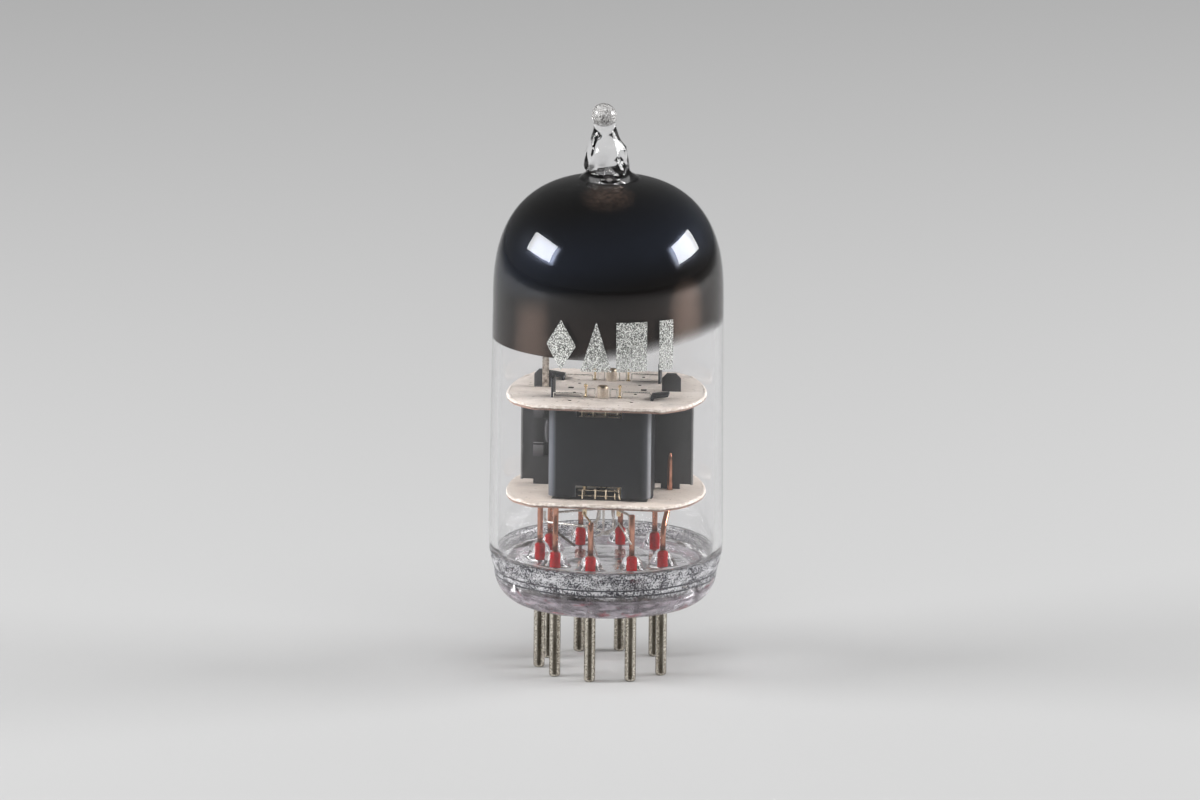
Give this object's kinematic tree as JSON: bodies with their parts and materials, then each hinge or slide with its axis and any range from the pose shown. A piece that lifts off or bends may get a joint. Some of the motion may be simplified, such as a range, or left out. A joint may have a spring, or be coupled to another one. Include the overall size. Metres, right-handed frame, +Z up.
{
  "type": "vacuum tube",
  "caption": "Nine-pin miniature glass double triode with a sealed exhaust tip, two blackened anodes, mica spacers and stiff contact pins.",
  "frame": {"origin": "on the tube's axis in the plane of the pin ends", "axes": "+Z up along the axis to the exhaust tip, X along the shield between the triodes, -Y towards the front triode"},
  "size_m": [0.0212, 0.0212, 0.052],
  "materials": {
    "clear_glass": "clear drawn and pressed glass",
    "nickel_pin": "smooth nickel",
    "red_seal": "red oxide glazed wire",
    "copper_lead": "satin copper",
    "coated_mica": "matt off-white coating on mica",
    "blackened_anode": "matt blackened sheet",
    "shield_metal": "satin dark grey sheet",
    "cathode_coat": "matt tan coating on nickel",
    "heater_coat": "matt white coating",
    "gold_rod": "bright gold-coloured wire",
    "silver_wire": "bright silver-coloured wire",
    "getter_metal": "dull getter channel"
  },
  "bodies": {
    "root": {"bulb": "clear_glass", "base_button": "clear_glass", "pin_1": "nickel_pin", "pin_2": "nickel_pin", "pin_3": "nickel_pin", "pin_4": "nickel_pin", "pin_5": "nickel_pin", "pin_6": "nickel_pin", "pin_7": "nickel_pin", "pin_8": "nickel_pin", "pin_9": "nickel_pin", "seal_1": "red_seal", "seal_2": "red_seal", "seal_3": "red_seal", "seal_4": "red_seal", "seal_5": "red_seal", "seal_6": "red_seal", "seal_7": "red_seal", "seal_8": "red_seal", "seal_9": "red_seal", "lead_1": "copper_lead", "lead_2": "copper_lead", "lead_3": "copper_lead", "lead_4": "copper_lead", "lead_5": "copper_lead", "lead_6": "copper_lead", "lead_7": "copper_lead", "lead_8": "copper_lead", "lead_9": "copper_lead", "lower_mica": "coated_mica", "upper_mica": "coated_mica", "anode_front": "blackened_anode", "anode_rear": "blackened_anode", "shield": "shield_metal", "cathode_front": "cathode_coat", "cathode_rear": "cathode_coat", "heater_front": "heater_coat", "heater_rear": "heater_coat", "grid_rod_front_left": "gold_rod", "grid_rod_front_right": "gold_rod", "grid_winding_front": "gold_rod", "grid_strap_front": "gold_rod", "cathode_strap_front": "silver_wire", "heater_tail_front": "silver_wire", "grid_rod_rear_left": "gold_rod", "grid_rod_rear_right": "gold_rod", "grid_winding_rear": "gold_rod", "grid_strap_rear": "gold_rod", "cathode_strap_rear": "silver_wire", "heater_tail_rear": "silver_wire", "heater_link": "silver_wire", "getter_ring": "getter_metal", "getter_holder": "gold_rod"}
  },
  "joints": []
}
